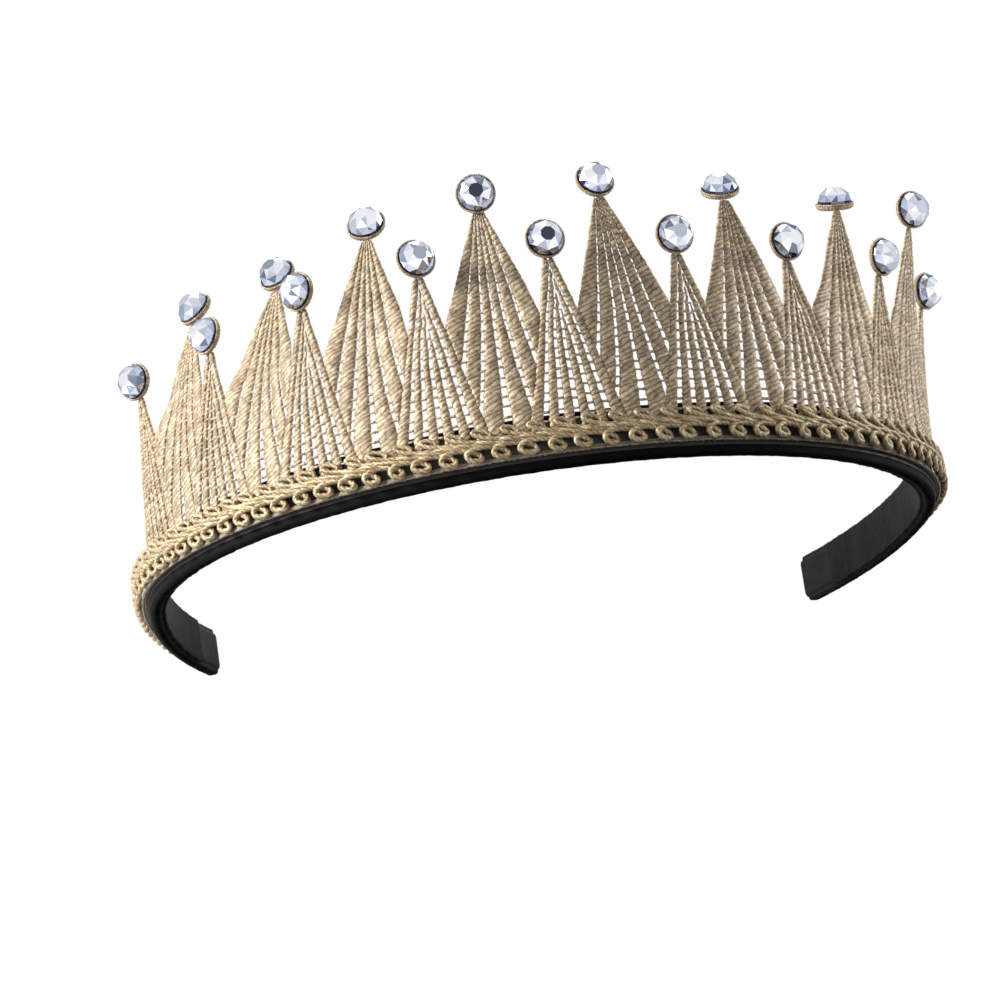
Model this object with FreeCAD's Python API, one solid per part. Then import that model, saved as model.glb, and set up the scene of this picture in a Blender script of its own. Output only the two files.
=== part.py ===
"""Lace crown on a hair band: a sprung, ribbon-covered U band that grips the head from the front,
with a stiff metallic-thread lace of nine short and eight tall spikes standing on it, a scroll gimp
braid along its foot and a foil-backed rhinestone glued to the pad on every spike.

Frame, in millimetres: origin at the centre of the band's front arc, in the plane of its lower edge.
+Z runs up the spikes, -Y is the front of the crown and +X is the left ear of whoever wears it.
Each piece goes to parts/NODE.step.
"""

import FreeCAD
import Part
import math
import os

from FreeCAD import Vector

# ---------------------------------------------------------------- driving sizes
# Plan of the band: a half circle in front, and two legs that bend gently in towards their ends.
GRIP_RADIUS = 72.3  # inner face of the front arc, the one that touches the head
LEG_BEND_RADIUS = 166.0  # of the same face along the legs
LEG_LENGTH = 62.0  # along that face, from the widest point to the tip of the core

# Layers, from the head outwards.
LINING_THICK = 0.8
COVER_THICK = 0.35
CORE_THICK = 1.8
GLUE_FILM_THICK = 0.2
LACE_THICK = 1.0
BRAID_THICK = 1.5

# Heights above the lower edge of the band.
BAND_HEIGHT = 9.6
LINING_MARGIN = 0.4  # the lining stops this far from both edges of the cover
TAPE_BOTTOM = 1.6
TAPE_LAP_TOP = 4.4  # behind the lace the tape stops here, and the lace starts
LACE_GAP = 0.2
BRAID_BOTTOM = 2.2
BRAID_RING_HEIGHT = 2.6
BRAID_CORE_HEIGHT = 1.3
BRAID_SCALLOP_HEIGHT = 2.3

# Lace.
SPIKE_PITCH = 24.0  # short spike to short spike, along the middle of the lace
SHORT_COUNT = 9
SHORT_HEIGHT = 29.3  # top of the braid to the neck under the pad
TALL_HEIGHT = 40.5
VALLEY_HEIGHT = 19.5
SHORT_FOOT = 17.6  # width of a short spike at the braid
SHORT_VALLEY_WIDTH = 6.8
NECK_WIDTH = 1.7

# How far each spike has been set by hand, in degrees, from the wearer's right to left.
SHORT_OUTWARD = [-3, -6, -1, 1, 0, -4, -5, 2, 5]
SHORT_SIDEWAYS = [-9, -2, 2, 0, -2, -1, 2, 5, 10]
TALL_OUTWARD = [-13, -17, -8, -5, -4, -6, -1, 7]
TALL_SIDEWAYS = [-5, -2, 2, 0, -2, 2, 7, 3]
# How far each stone is turned about its spike, counterclockwise from above, and then tipped back.
SHORT_STONE_TURN = [25, 0, -10, 30, 5, -5, -10, -10, -25]
SHORT_STONE_TIP = [-5, 5, 0, 5, 0, -10, -10, -10, -10]
TALL_STONE_TURN = [15, 10, 10, 5, 5, -25, -50, -35]
TALL_STONE_TIP = [20, 15, 20, -10, 15, 45, 60, -5]

# Stones and the pads they sit on.
STONE_DIAMETER = 6.4
STONE_HEIGHT = 2.9
GIRDLE_HEIGHT = 0.6
FACET_RING_HEIGHT = 1.8
FACET_RING_SHARE = 0.86  # of the stone's radius
TABLE_SHARE = 0.42
FACETS = 8
FOIL_THICK = 0.15
STONE_GLUE_THICK = 0.25
STONE_GLUE_DIAMETER = 4.8
SEAT_CLEARANCE = 0.08  # between the stone and the raised rim of its pad
PAD_RIM_WIDTH = 0.3
PAD_RIM_HEIGHT = 0.55

# Ribbon tab folded round each tip of the band.
TAB_LENGTH = 12.0
TAB_THICK = 0.4
TAB_MARGIN = 0.7  # from both edges of the band

# ---------------------------------------------------------------- sizes that follow
COVER_IN = GRIP_RADIUS + LINING_THICK
CORE_IN = COVER_IN + COVER_THICK
CORE_OUT = CORE_IN + CORE_THICK
COVER_OUT = CORE_OUT + COVER_THICK
LACE_IN = COVER_OUT + GLUE_FILM_THICK
LACE_OUT = LACE_IN + LACE_THICK
LACE_MID = (LACE_IN + LACE_OUT) / 2
BRAID_OUT = LACE_OUT + BRAID_THICK

ARC_LENGTH = GRIP_RADIUS * math.pi / 2  # half of the front arc, on the inner face
BAND_END = ARC_LENGTH + LEG_LENGTH
TAB_START = BAND_END - TAB_LENGTH

BRAID_CORE_BOTTOM = BRAID_BOTTOM + BRAID_RING_HEIGHT
BRAID_CORE_TOP = BRAID_CORE_BOTTOM + BRAID_CORE_HEIGHT
BRAID_TOP = BRAID_CORE_TOP + BRAID_SCALLOP_HEIGHT
LACE_BOTTOM = TAPE_LAP_TOP + LACE_GAP
SHORT_MIDDLE = (SHORT_COUNT - 1) / 2
VALLEY_TOP = BRAID_TOP + VALLEY_HEIGHT
ARC_SHARE = GRIP_RADIUS / LACE_MID  # from a length along the lace to one along the inner face
LACE_HALF_ARC = (SHORT_MIDDLE * SPIKE_PITCH + SHORT_FOOT / 2) * ARC_SHARE

PAD_OUTER_RADIUS = STONE_DIAMETER / 2 + SEAT_CLEARANCE + PAD_RIM_WIDTH
STONE_SEAT = LACE_THICK / 2 + STONE_GLUE_THICK + FOIL_THICK  # pad's middle to the stone's back


# ---------------------------------------------------------------- plan of the band
def plan_point(radius, arc):
    """Point in plan, `radius` out from the axis in front, at `arc` along the inner face."""
    side = -1 if arc < 0 else 1
    along = abs(arc)
    if along <= ARC_LENGTH:
        angle = along / GRIP_RADIUS
        return Vector(side * radius * math.sin(angle), -radius * math.cos(angle), 0)
    angle = (along - ARC_LENGTH) / LEG_BEND_RADIUS
    leg_radius = LEG_BEND_RADIUS + radius - GRIP_RADIUS
    x = GRIP_RADIUS - LEG_BEND_RADIUS + leg_radius * math.cos(angle)
    return Vector(side * x, leg_radius * math.sin(angle), 0)


def plan_outward(arc):
    """Unit vector square to the band and away from the head, at `arc` along the inner face."""
    return (plan_point(GRIP_RADIUS + 1, arc) - plan_point(GRIP_RADIUS, arc)).normalize()


def plan_edges(radius, start, end):
    """Arc edges that follow the plan at `radius` from `start` to `end`, split where it changes."""
    stops = [start] + [s for s in (-ARC_LENGTH, ARC_LENGTH) if start < s < end] + [end]
    edges = []
    for a, b in zip(stops, stops[1:]):
        corners = [plan_point(radius, s) for s in (a, (a + b) / 2, b)]
        edges.append(Part.Arc(*corners).toShape())
    return edges


def strip(inner, outer, start, end, bottom, top):
    """A strip standing on edge that follows the plan between two radii."""
    sides = [
        Part.LineSegment(plan_point(inner, s), plan_point(outer, s)).toShape() for s in (start, end)
    ]
    edges = plan_edges(inner, start, end) + plan_edges(outer, start, end) + sides
    face = Part.Face(Part.Wire(Part.__sortEdges__(edges)))
    face.translate(Vector(0, 0, bottom))
    return face.extrude(Vector(0, 0, top - bottom))


def full_strip(inner, outer, bottom, top, end=BAND_END):
    return strip(inner, outer, -end, end, bottom, top)


# ---------------------------------------------------------------- band
def band_core():
    margin = COVER_THICK
    return full_strip(CORE_IN, CORE_OUT, margin, BAND_HEIGHT - margin)


def band_cover():
    """Ribbon wrapped all round the core, open at both tips, which the tabs close."""
    sleeve = full_strip(COVER_IN, COVER_OUT, 0, BAND_HEIGHT)
    return sleeve.cut(band_core())


def inner_lining():
    return full_strip(GRIP_RADIUS, COVER_IN, LINING_MARGIN, BAND_HEIGHT - LINING_MARGIN, TAB_START)


def end_tab(side):
    """Ribbon folded round one tip: an inner leaf, a fold past the end and an outer leaf."""
    inner, outer = COVER_IN, COVER_OUT
    bottom, top = TAB_MARGIN, BAND_HEIGHT - TAB_MARGIN
    spans = [
        (inner - TAB_THICK, inner, TAB_START, BAND_END + TAB_THICK),
        (inner, outer, BAND_END, BAND_END + TAB_THICK),
        (outer, outer + TAB_THICK, TAB_START, BAND_END + TAB_THICK),
    ]
    leaves = [strip(a, b, *sorted((side * c, side * d)), bottom, top) for a, b, c, d in spans]
    return leaves[0].fuse(leaves[1:]).removeSplitter()


def glue_film():
    return full_strip(COVER_OUT, LACE_IN, TAPE_BOTTOM, BRAID_TOP - LACE_GAP, TAB_START)


def selvedge_tape():
    """Gold tape behind the braid: low behind the lace, and full height along the bare legs."""
    low = full_strip(LACE_IN, LACE_OUT, TAPE_BOTTOM, TAPE_LAP_TOP, TAB_START)
    lap = LACE_HALF_ARC + LACE_GAP
    top = BRAID_TOP - LACE_GAP
    legs = [
        strip(LACE_IN, LACE_OUT, *sorted((side * lap, side * TAB_START)), TAPE_BOTTOM, top)
        for side in (-1, 1)
    ]
    return low.fuse(legs).removeSplitter()


def braid_layer(bottom, top):
    return full_strip(LACE_OUT, BRAID_OUT, bottom, top, TAB_START)


# ---------------------------------------------------------------- spikes
class Spike:
    """One spike: where it stands along the lace, how it leans and which way its stone faces."""

    def __init__(self, place, height, valley_width, outward, sideways, stone_turn, stone_tip):
        self.arc = place * SPIKE_PITCH * ARC_SHARE
        self.half_valley = valley_width / 2 * ARC_SHARE
        out = plan_outward(self.arc)
        along = Vector(-out.y, out.x, 0)
        lean = out * math.sin(math.radians(outward)) + along * math.sin(math.radians(sideways))
        self.up = lean + Vector(0, 0, math.sqrt(1 - lean.Length**2))
        self.along = along
        self.neck = plan_point(LACE_MID, self.arc) + Vector(0, 0, BRAID_TOP) + self.up * height
        # The spike faces out, square to its own length. Its pad is turned and tipped about the neck.
        self.face = along.cross(self.up).normalize()
        turn, tip = math.radians(stone_turn), math.radians(stone_tip)
        turned = self.face * math.cos(turn) + self.up.cross(self.face) * math.sin(turn)
        self.pad_up = self.up * math.cos(tip) - turned * math.sin(tip)
        self.pad_face = turned * math.cos(tip) + self.up * math.sin(tip)
        self.pad_centre = self.neck + self.pad_up * (PAD_OUTER_RADIUS - LACE_THICK / 2)


def spikes():
    """All the spikes from the wearer's right to left: short, tall, short and so on."""
    tall_valley_width = SPIKE_PITCH - SHORT_VALLEY_WIDTH
    shorts = [
        Spike(i - SHORT_MIDDLE, SHORT_HEIGHT, SHORT_VALLEY_WIDTH, *set_by_hand)
        for i, set_by_hand in enumerate(
            zip(SHORT_OUTWARD, SHORT_SIDEWAYS, SHORT_STONE_TURN, SHORT_STONE_TIP)
        )
    ]
    talls = [
        Spike(i + 0.5 - SHORT_MIDDLE, TALL_HEIGHT, tall_valley_width, *set_by_hand)
        for i, set_by_hand in enumerate(
            zip(TALL_OUTWARD, TALL_SIDEWAYS, TALL_STONE_TURN, TALL_STONE_TIP)
        )
    ]
    return sorted(shorts + talls, key=lambda spike: spike.arc)


def spike_blade(spike):
    """The tapering blade from the lace's valley line to the neck."""
    start, end = spike.arc - spike.half_valley, spike.arc + spike.half_valley
    root = strip(LACE_IN, LACE_OUT, start, end, VALLEY_TOP, VALLEY_TOP + LACE_THICK).Faces
    root = min(root, key=lambda face: face.CenterOfMass.z).OuterWire
    side = spike.along * (NECK_WIDTH / 2)
    depth = spike.face * (LACE_THICK / 2)
    corners = [spike.neck + corner for corner in (-side - depth, side - depth, side + depth, depth - side)]
    neck = Part.makePolygon(corners + corners[:1])
    return Part.makeLoft([root, neck], True, True)


def stone_pad(spike):
    """Round pad on the neck with a raised rim round the stone."""
    back = spike.pad_centre - spike.pad_face * (LACE_THICK / 2)
    front = spike.pad_centre + spike.pad_face * (LACE_THICK / 2)
    disc = Part.makeCylinder(PAD_OUTER_RADIUS, LACE_THICK + PAD_RIM_HEIGHT, back, spike.pad_face)
    seat = Part.makeCylinder(PAD_OUTER_RADIUS - PAD_RIM_WIDTH, PAD_RIM_HEIGHT, front, spike.pad_face)
    return disc.cut(seat)


def lace_end_cutter(side):
    """Wedge that slopes the end of the lace from its valley line down to the braid."""
    out = plan_outward(side * LACE_HALF_ARC)
    past = Vector(-out.y, out.x, 0) * side
    up = Vector(0, 0, VALLEY_HEIGHT)
    foot = plan_point(LACE_MID, side * LACE_HALF_ARC) + Vector(0, 0, BRAID_TOP)
    shoulder = foot + up - past * ((SHORT_FOOT - SHORT_VALLEY_WIDTH) / 2)
    clear = past * (2 * LACE_THICK)
    corners = [foot, shoulder, foot + up + clear, foot + clear]
    face = Part.Face(Part.makePolygon([corner - out * (2 * LACE_THICK) for corner in corners + corners[:1]]))
    return face.extrude(out * (4 * LACE_THICK))


def lace_crown(rows):
    wall = strip(LACE_IN, LACE_OUT, -LACE_HALF_ARC, LACE_HALF_ARC, LACE_BOTTOM, VALLEY_TOP)
    for side in (-1, 1):
        wall = wall.cut(lace_end_cutter(side))
    pieces = []
    for spike in rows:
        pieces += [spike_blade(spike), stone_pad(spike)]
    return wall.fuse(pieces).removeSplitter()


# ---------------------------------------------------------------- stones
def placed(shape, spike, height):
    """Moves a shape modelled on +Z to `height` in front of the pad's middle."""
    turn = FreeCAD.Rotation(Vector(0, 0, 1), spike.pad_face)
    shape.Placement = FreeCAD.Placement(spike.pad_centre + spike.pad_face * height, turn)
    return shape


def ring(radius, height, count, turn=0.0):
    step = 2 * math.pi / count
    return [
        Vector(radius * math.cos(step * (i + turn)), radius * math.sin(step * (i + turn)), height)
        for i in range(count)
    ]


def stone(spike):
    """Flat-backed faceted stone: a thin girdle, two rows of facets and a table."""
    radius = STONE_DIAMETER / 2
    back = ring(radius, 0, 2 * FACETS)
    girdle = ring(radius, GIRDLE_HEIGHT, 2 * FACETS)
    middle = ring(radius * FACET_RING_SHARE, FACET_RING_HEIGHT, FACETS)
    table = ring(radius * TABLE_SHARE, STONE_HEIGHT, FACETS, 0.5)
    polygons = [back[::-1], table]
    for i in range(2 * FACETS):
        j = (i + 1) % (2 * FACETS)
        polygons.append([back[i], back[j], girdle[j], girdle[i]])
    for i in range(FACETS):
        j = (i + 1) % FACETS
        here, side, following = girdle[2 * i], girdle[2 * i + 1], girdle[2 * j]
        polygons.append([here, side, middle[i]])
        polygons.append([side, following, middle[j]])
        polygons.append([side, middle[j], middle[i]])
        polygons.append([middle[i], middle[j], table[i]])
        polygons.append([middle[j], table[j], table[i]])
    faces = [Part.Face(Part.makePolygon(p + p[:1])) for p in polygons]
    solid = Part.makeSolid(Part.makeShell(faces))
    if solid.Volume < 0:
        solid.reverse()
    return placed(solid, spike, STONE_SEAT)


def stone_foil(spike):
    disc = Part.makeCylinder(STONE_DIAMETER / 2 - SEAT_CLEARANCE, FOIL_THICK)
    return placed(disc, spike, LACE_THICK / 2 + STONE_GLUE_THICK)


def stone_glue(spike):
    disc = Part.makeCylinder(STONE_GLUE_DIAMETER / 2, STONE_GLUE_THICK)
    return placed(disc, spike, LACE_THICK / 2)


# ---------------------------------------------------------------- write the parts
def export(name, shape):
    shape.exportStep(os.path.join("parts", name + ".step"))
    print(f"{name}: {len(shape.Solids)} solid(s), {shape.Volume:.1f} mm3, valid {shape.isValid()}")


def main():
    os.makedirs("parts", exist_ok=True)
    rows = spikes()
    export("band_core", band_core())
    export("band_cover", band_cover())
    export("inner_lining", inner_lining())
    export("end_tab_right", end_tab(-1))
    export("end_tab_left", end_tab(1))
    export("glue_film", glue_film())
    export("selvedge_tape", selvedge_tape())
    export("lace_crown", lace_crown(rows))
    export("braid_lower_rings", braid_layer(BRAID_BOTTOM, BRAID_CORE_BOTTOM))
    export("braid_core_cords", braid_layer(BRAID_CORE_BOTTOM, BRAID_CORE_TOP))
    export("braid_upper_scallops", braid_layer(BRAID_CORE_TOP, BRAID_TOP))
    for i, spike in enumerate(rows):
        export(f"rhinestone_{i + 1:02d}", stone(spike))
    export("stone_foils", Part.makeCompound([stone_foil(s) for s in rows]))
    export("stone_glue_dots", Part.makeCompound([stone_glue(s) for s in rows]))


main()
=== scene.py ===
"""Looks of a lace crown on a hair band: stitched lace spikes, scroll gimp braid, ribbon-covered
band and foil-backed stones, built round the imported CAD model.

Sizes are in millimetres, and mesh_object() scales each piece to metres. Only the materials and the
stage, at the end, have sizes in metres. Places along the band are given as `arc`, a length on its
inner face from the middle of the front, positive towards +X.
"""

import math

import bpy
import numpy as np
from mathutils import Matrix, Vector


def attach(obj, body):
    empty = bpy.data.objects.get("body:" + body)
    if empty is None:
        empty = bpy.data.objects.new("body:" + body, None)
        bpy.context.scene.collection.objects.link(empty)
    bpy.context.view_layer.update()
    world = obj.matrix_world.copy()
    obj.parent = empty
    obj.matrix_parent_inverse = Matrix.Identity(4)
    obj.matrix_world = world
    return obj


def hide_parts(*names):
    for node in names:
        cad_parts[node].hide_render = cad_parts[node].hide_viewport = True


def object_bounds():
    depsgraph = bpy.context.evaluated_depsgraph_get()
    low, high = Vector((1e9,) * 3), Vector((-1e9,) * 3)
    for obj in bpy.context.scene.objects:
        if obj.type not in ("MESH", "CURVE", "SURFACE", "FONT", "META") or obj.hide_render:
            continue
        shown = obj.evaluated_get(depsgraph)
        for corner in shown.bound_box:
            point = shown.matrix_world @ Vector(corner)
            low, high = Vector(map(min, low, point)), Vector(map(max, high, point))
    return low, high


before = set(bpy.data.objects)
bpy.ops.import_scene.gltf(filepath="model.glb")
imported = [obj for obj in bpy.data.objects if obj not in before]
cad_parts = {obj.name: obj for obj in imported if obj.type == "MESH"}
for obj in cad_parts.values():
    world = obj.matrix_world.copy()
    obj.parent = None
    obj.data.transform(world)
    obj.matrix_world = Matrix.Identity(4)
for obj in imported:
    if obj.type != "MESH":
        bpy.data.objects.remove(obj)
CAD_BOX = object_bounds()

MM = 0.001
rng = np.random.default_rng(7)

# ---------------------------------------------------------------- sizes shared with the CAD model
GRIP_RADIUS = 72.3
LEG_BEND_RADIUS = 166.0
LEG_LENGTH = 62.0
LINING_THICK = 0.8
BAND_THICK = 2.5  # ribbon, core and ribbon
GLUE_FILM_THICK = 0.2
LACE_THICK = 1.0
BRAID_THICK = 1.5
BAND_HEIGHT = 9.6
LINING_MARGIN = 0.4
TAPE_BOTTOM = 1.6
BRAID_BOTTOM = 2.2
BRAID_TOP = 8.4
VALLEY_HEIGHT = 19.5
SPIKE_PITCH = 24.0
SHORT_COUNT = 9
NECK_WIDTH = 1.7
TAB_LENGTH = 12.0
TAB_THICK = 0.4
TAB_MARGIN = 0.7
PAD_RADIUS = 3.58
STONE_SEAT = 0.9  # middle of the pad to the back of its stone

BAND_IN = GRIP_RADIUS + LINING_THICK
BAND_OUT = BAND_IN + BAND_THICK
LACE_IN = BAND_OUT + GLUE_FILM_THICK
LACE_OUT = LACE_IN + LACE_THICK
LACE_MID = (LACE_IN + LACE_OUT) / 2
ARC_LENGTH = GRIP_RADIUS * math.pi / 2
BAND_END = ARC_LENGTH + LEG_LENGTH
TAB_START = BAND_END - TAB_LENGTH
ARC_SHARE = GRIP_RADIUS / LACE_MID
VALLEY_TOP = BRAID_TOP + VALLEY_HEIGHT
SPIKE_COUNT = 2 * SHORT_COUNT - 1


# ---------------------------------------------------------------- plan of the band
def plan(radius, arc):
    """(x, y) at `radius` out from the axis in front and `arc` along the inner face."""
    radius, arc = np.broadcast_arrays(np.asarray(radius, float), np.asarray(arc, float))
    side = np.where(arc < 0, -1.0, 1.0)
    along = np.abs(arc)
    in_front = along <= ARC_LENGTH
    turn = along / GRIP_RADIUS
    leg_turn = (along - ARC_LENGTH) / LEG_BEND_RADIUS
    leg_radius = LEG_BEND_RADIUS + radius - GRIP_RADIUS
    leg_x = GRIP_RADIUS - LEG_BEND_RADIUS + leg_radius * np.cos(leg_turn)
    x = np.where(in_front, radius * np.sin(turn), leg_x)
    y = np.where(in_front, -radius * np.cos(turn), leg_radius * np.sin(leg_turn))
    return np.stack([side * x, y], -1)


def at(radius, arc, z):
    """(x, y, z) at a place along the band."""
    xy = plan(radius, arc)
    z = np.broadcast_to(np.asarray(z, float), xy.shape[:-1])
    return np.concatenate([xy, z[..., None]], -1)


def outward(arc):
    """Level direction straight out from the band."""
    xy = plan(LACE_MID + 1, arc) - plan(LACE_MID, arc)
    return np.concatenate([xy, np.zeros(xy.shape[:-1] + (1,))], -1)


def smooth(t):
    """Eases from 0 to 1 as t does."""
    t = np.clip(t, 0, 1)
    return t * t * (3 - 2 * t)


# ---------------------------------------------------------------- mesh building
class Mesh:
    """Vertices, quads and triangles gathered from many small surfaces."""

    def __init__(self):
        self.points, self.quads, self.tris, self.uvs, self.count = [], [], [], [], 0

    def grid(self, points, uv, close_u=False, close_v=False, caps=True):
        """A grid of points (rows, columns, 3). close_v joins the last column to the first, and the
        first and last rows are then capped. close_u joins the last row to the first."""
        rows, cols = points.shape[:2]
        index = np.arange(rows * cols).reshape(rows, cols) + self.count
        r = np.arange(rows if close_u else rows - 1)
        c = np.arange(cols if close_v else cols - 1)
        r2, c2 = (r + 1) % rows, (c + 1) % cols
        corners = [index[np.ix_(r, c)], index[np.ix_(r, c2)], index[np.ix_(r2, c2)], index[np.ix_(r2, c)]]
        self.points.append(points.reshape(-1, 3))
        self.quads.append(np.stack(corners, -1).reshape(-1, 4))
        self.uvs.append(uv.reshape(-1, 2))
        self.count += rows * cols
        if close_v and caps and not close_u:
            self.cap(points[0], uv[0], flip=False)
            self.cap(points[-1], uv[-1], flip=True)

    def cap(self, loop, uv, flip):
        """A fan of triangles over a loop of points."""
        n = len(loop)
        self.points.append(np.concatenate([loop, loop.mean(0)[None]]))
        self.uvs.append(np.concatenate([uv, uv.mean(0)[None]]))
        i = np.arange(n)
        j = (i + 1) % n
        if flip:
            i, j = j, i
        self.tris.append(np.stack([j, i, np.full(n, n)], -1) + self.count)
        self.count += n + 1

    def arrays(self):
        return [np.concatenate(part) for part in (self.points, self.quads, self.tris, self.uvs)]


def mesh_object(name, shape, material):
    """A smooth-shaded object in metres, with the UV map that the thread materials read."""
    points, quads, tris, uvs = shape.arrays()
    mesh = bpy.data.meshes.new(name)
    corners = np.concatenate([quads.reshape(-1), tris.reshape(-1)]).astype(np.int32)
    starts = np.concatenate([np.arange(len(quads)) * 4, len(quads) * 4 + np.arange(len(tris)) * 3])
    mesh.vertices.add(len(points))
    mesh.vertices.foreach_set("co", (points * MM).astype(np.float32).reshape(-1))
    mesh.loops.add(len(corners))
    mesh.loops.foreach_set("vertex_index", corners)
    mesh.polygons.add(len(starts))
    mesh.polygons.foreach_set("loop_start", starts.astype(np.int32))
    layer = mesh.uv_layers.new(name="thread")
    layer.data.foreach_set("uv", uvs[corners].astype(np.float32).reshape(-1))
    mesh.polygons.foreach_set("use_smooth", np.full(len(starts), True))
    mesh.update(calc_edges=True)
    mesh.validate()
    mesh.materials.append(material)
    obj = bpy.data.objects.new(name, mesh)
    bpy.context.collection.objects.link(obj)
    return obj


def tube_rings(path, across, radius, sides, swell=None):
    """Rings of points round a path, and their UV: length along it and share of a turn. `across` is
    roughly square to the path. swell(s, phi) scales each ring."""
    tangent = np.gradient(path, axis=0)
    tangent /= np.linalg.norm(tangent, axis=1)[:, None]
    first = across - (across * tangent).sum(1)[:, None] * tangent
    first /= np.linalg.norm(first, axis=1)[:, None]
    second = np.cross(tangent, first)
    phi = np.linspace(0, 2 * np.pi, sides, endpoint=False)
    steps = np.linalg.norm(np.diff(path, axis=0), axis=1)
    length = np.concatenate([[0], np.cumsum(steps)])
    size = np.broadcast_to(np.asarray(radius, float), (len(path),))[:, None] * np.ones(sides)
    if swell is not None:
        size = size * swell(length[:, None], phi[None, :])
    ring = first[:, None] * np.cos(phi)[:, None] + second[:, None] * np.sin(phi)[:, None]
    uv = np.stack(np.broadcast_arrays(length[:, None], phi[None, :] / (2 * np.pi)), -1)
    return path[:, None] + ring * size[..., None], uv


# ---------------------------------------------------------------- materials
def new_material(name, base, roughness, metallic=0.0):
    """A Principled material, with its node tree and its shader."""
    material = bpy.data.materials.new(name)
    material.use_nodes = True
    tree = material.node_tree
    shader = tree.nodes["Principled BSDF"]
    shader.inputs["Base Color"].default_value = (*base, 1)
    shader.inputs["Roughness"].default_value = roughness
    shader.inputs["Metallic"].default_value = metallic
    return material, tree, shader


def add(tree, kind, **settings):
    """A new node, with the sockets or properties of those names set."""
    node = tree.nodes.new(kind)
    for key, value in settings.items():
        if key in node.inputs:
            node.inputs[key].default_value = value
        else:
            setattr(node, key, value)
    return node


def calc(tree, operation, *terms):
    """Result of a Math node. Each term is a socket or a number."""
    node = add(tree, "ShaderNodeMath", operation=operation)
    for socket, term in zip(node.inputs, terms):
        if isinstance(term, bpy.types.NodeSocket):
            tree.links.new(term, socket)
        else:
            socket.default_value = term
    return node.outputs[0]


def dot(tree, vector, direction):
    """How far a vector points in a fixed direction."""
    node = add(tree, "ShaderNodeVectorMath", operation="DOT_PRODUCT")
    node.inputs[1].default_value = direction
    tree.links.new(vector, node.inputs[0])
    return node.outputs["Value"]


def object_place(tree):
    return tree.nodes.new("ShaderNodeTexCoord").outputs["Object"]


def grey(value):
    return (value, value, value)


def ramp(tree, source, stops):
    """A colour read from stops of (position, colour)."""
    node = tree.nodes.new("ShaderNodeValToRGB")
    elements = node.color_ramp.elements
    while len(elements) < len(stops):
        elements.new(0.5)
    for element, (position, color) in zip(elements, stops):
        element.position = position
        element.color = (*color, 1)
    tree.links.new(source, node.inputs[0])
    return node.outputs[0]


def noise(tree, vector, scale, detail=2.0, roughness=0.5):
    node = add(tree, "ShaderNodeTexNoise", Scale=scale, Detail=detail, Roughness=roughness)
    tree.links.new(vector, node.inputs["Vector"])
    return node.outputs["Fac"]


def stretched(tree, source, scale):
    """A vector scaled on each axis."""
    node = tree.nodes.new("ShaderNodeMapping")
    node.inputs["Scale"].default_value = scale
    tree.links.new(source, node.inputs["Vector"])
    return node.outputs[0]


def bump(tree, shader, height, strength, distance):
    node = add(tree, "ShaderNodeBump", Strength=strength, Distance=distance)
    tree.links.new(height, node.inputs["Height"])
    tree.links.new(node.outputs[0], shader.inputs["Normal"])


MIX_A, MIX_B = 6, 7  # colour inputs of a Mix node, and its colour output
MIX_RESULT = 2


def times(tree, color, shade):
    """A colour darkened by another."""
    mix = tree.nodes.new("ShaderNodeMix")
    mix.data_type = "RGBA"
    mix.blend_type = "MULTIPLY"
    mix.inputs[0].default_value = 1.0
    tree.links.new(color, mix.inputs[MIX_A])
    tree.links.new(shade, mix.inputs[MIX_B])
    return mix.outputs[MIX_RESULT]


def painted_groove_shade_and_stitch_tone(tree, uv, groove):
    """Painted shade at each whole step of u, where one stitch meets the next, and a new tone on each
    stitch.
    """
    along = tree.nodes.new("ShaderNodeSeparateXYZ")
    tree.links.new(uv, along.inputs[0])
    crest = calc(tree, "PINGPONG", along.outputs[0], 0.5)
    # groove is how dark the painted shade is where two stitches meet
    shade = ramp(tree, crest, [(0.02, grey(groove)), (0.16, grey(0.85)), (0.4, grey(1))])
    chance = add(tree, "ShaderNodeTexWhiteNoise", noise_dimensions="1D")
    tree.links.new(calc(tree, "FLOOR", along.outputs[0]), chance.inputs["W"])
    tone = ramp(tree, chance.outputs["Value"], [(0.0, grey(0.68)), (0.5, grey(0.92)), (1.0, grey(1.08))])
    return times(tree, shade, tone)


def thread_material(name, tones, roughness, metallic, filament, groove=None):
    """Metallic thread: fine filaments along it, patches of tone and, with a groove, painted shade between
    stitches.
    """
    material, tree, shader = new_material(name, tones[1], roughness, metallic)
    uv = tree.nodes.new("ShaderNodeUVMap")
    uv.uv_map = "thread"
    fine = noise(tree, stretched(tree, uv.outputs[0], filament), 1.0, 3.0, 0.6)
    patch = noise(tree, object_place(tree), 900.0, 2.0)
    patch = calc(tree, "MULTIPLY", patch, 1 - FILAMENT_SHARE)
    mixed = calc(tree, "MULTIPLY_ADD", fine, FILAMENT_SHARE, patch)
    color = ramp(tree, mixed, [(0.36, tones[0]), (0.5, tones[1]), (0.62, tones[2])])
    if groove is not None:
        color = times(tree, color, painted_groove_shade_and_stitch_tone(tree, uv.outputs[0], groove))
    tree.links.new(color, shader.inputs["Base Color"])
    rough = ramp(tree, fine, [(0.3, grey(roughness - 0.1)), (0.7, grey(roughness + 0.12))])
    tree.links.new(rough, shader.inputs["Roughness"])
    shader.inputs["Specular IOR Level"].default_value = 0.3
    bump(tree, shader, fine, 0.7, 0.00016)
    return material


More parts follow.
